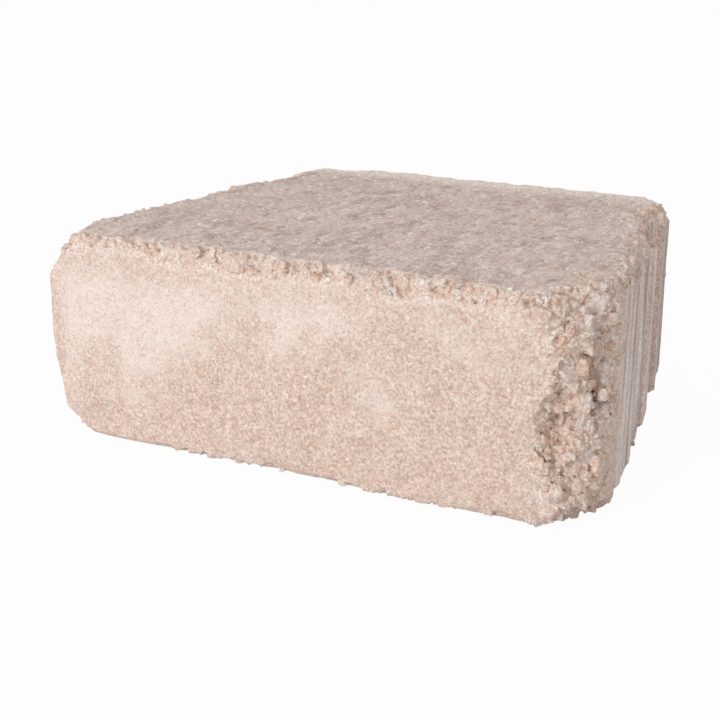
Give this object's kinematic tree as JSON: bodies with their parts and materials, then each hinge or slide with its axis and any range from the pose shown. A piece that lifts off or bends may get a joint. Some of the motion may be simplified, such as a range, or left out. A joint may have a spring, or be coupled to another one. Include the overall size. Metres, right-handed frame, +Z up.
{
  "type": "retaining wall block",
  "caption": "Tumbled concrete retaining wall block with a tapered plan, flat beds, a shallow channel in each flank, and chipped, rounded edges.",
  "frame": {"origin": "middle of the block's box, on the bed that it lies on", "axes": "+X along the face, to the right as seen from in front; +Y from the face to the tail; +Z up, square to the beds"},
  "size_m": [0.3958, 0.305, 0.145],
  "materials": {
    "concrete": "matte"
  },
  "bodies": {
    "root": {"wall_block": "concrete"}
  },
  "joints": []
}
